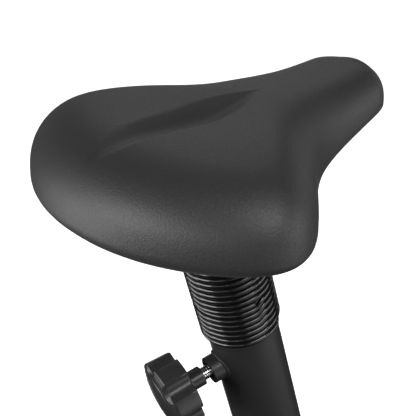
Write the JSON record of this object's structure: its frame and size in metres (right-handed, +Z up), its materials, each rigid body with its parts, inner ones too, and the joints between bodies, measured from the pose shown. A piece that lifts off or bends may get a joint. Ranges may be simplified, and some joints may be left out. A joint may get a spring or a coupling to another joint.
{
  "type": "exercise bike seat assembly",
  "caption": "Wide padded exercise bike saddle on a sprung stem, in a leaning round seat tube with a star clamping knob.",
  "frame": {"origin": "centre of the seat tube's lower end, where the bike's frame holds it", "axes": "+X forward to the saddle's nose, +Y to the rider's left, +Z up; the seat tube leans back 16.5 degrees"},
  "size_m": [0.2475, 0.2322, 0.473],
  "materials": {
    "frame_paint": "satin black powder coat",
    "post_steel": "plain plated steel",
    "nylon": "black nylon",
    "spring_steel": "gloss black lacquered wire",
    "zinc": "bright zinc plate",
    "rubber": "black rubber",
    "cushion_skin": "fine-grained matte black skin over moulded foam",
    "pan_plastic": "moulded black plastic",
    "knob_plastic": "semi-gloss black plastic"
  },
  "bodies": {
    "frame_tube": {"seat_tube": "frame_paint", "tube_sleeve": "nylon", "knob_boss": "frame_paint", "boss_weld": "frame_paint"},
    "post": {"seat_post": "post_steel", "post_plug": "nylon", "spring_collar": "frame_paint", "upper_guide_bush": "nylon", "helper_spring": "spring_steel", "main_spring": "spring_steel"},
    "sprung_saddle": {"stem": "post_steel", "stem_key_pin": "zinc", "stem_guide_ring": "nylon", "upper_spring_seat": "frame_paint", "bump_stop": "rubber", "saddle_plate": "frame_paint", "saddle_bolts": "zinc", "saddle_washers": "zinc", "saddle_nuts": "zinc", "saddle_pan": "pan_plastic", "saddle_pad": "cushion_skin"},
    "stud": {"knob_stud": "zinc"},
    "knob": {"knob_hub": "knob_plastic", "knob_grip": "knob_plastic", "knob_cap": "knob_plastic"}
  },
  "joints": [
    {"name": "seat_height", "type": "slide", "parent": "frame_tube", "child": "post", "axis": [-0.284, 0, 0.9588], "range_m": [0, 0.15]},
    {"name": "saddle_spring", "type": "slide", "parent": "post", "child": "sprung_saddle", "axis": [-0.284, 0, 0.9588], "range_m": [-0.012, 0], "stiffness_N_per_m": 40000, "springref_m": 0.003, "deforming": ["helper_spring", "main_spring"]},
    {"name": "stud_feed", "type": "slide", "parent": "frame_tube", "child": "stud", "axis": [-0.9379, 0.2079, -0.2778], "range_m": [-0.00552, 0.00202]},
    {"name": "knob_turn", "type": "hinge", "parent": "stud", "child": "knob", "pos_m": [-0.07904, 0, 0.26684], "axis": [-0.9379, 0.2079, -0.2778], "range_deg": [-1320, 480]}
  ],
  "couplings": [
    {"joint": "stud_feed", "follows": "knob_turn", "m_per_rad": 0.00023873}
  ]
}
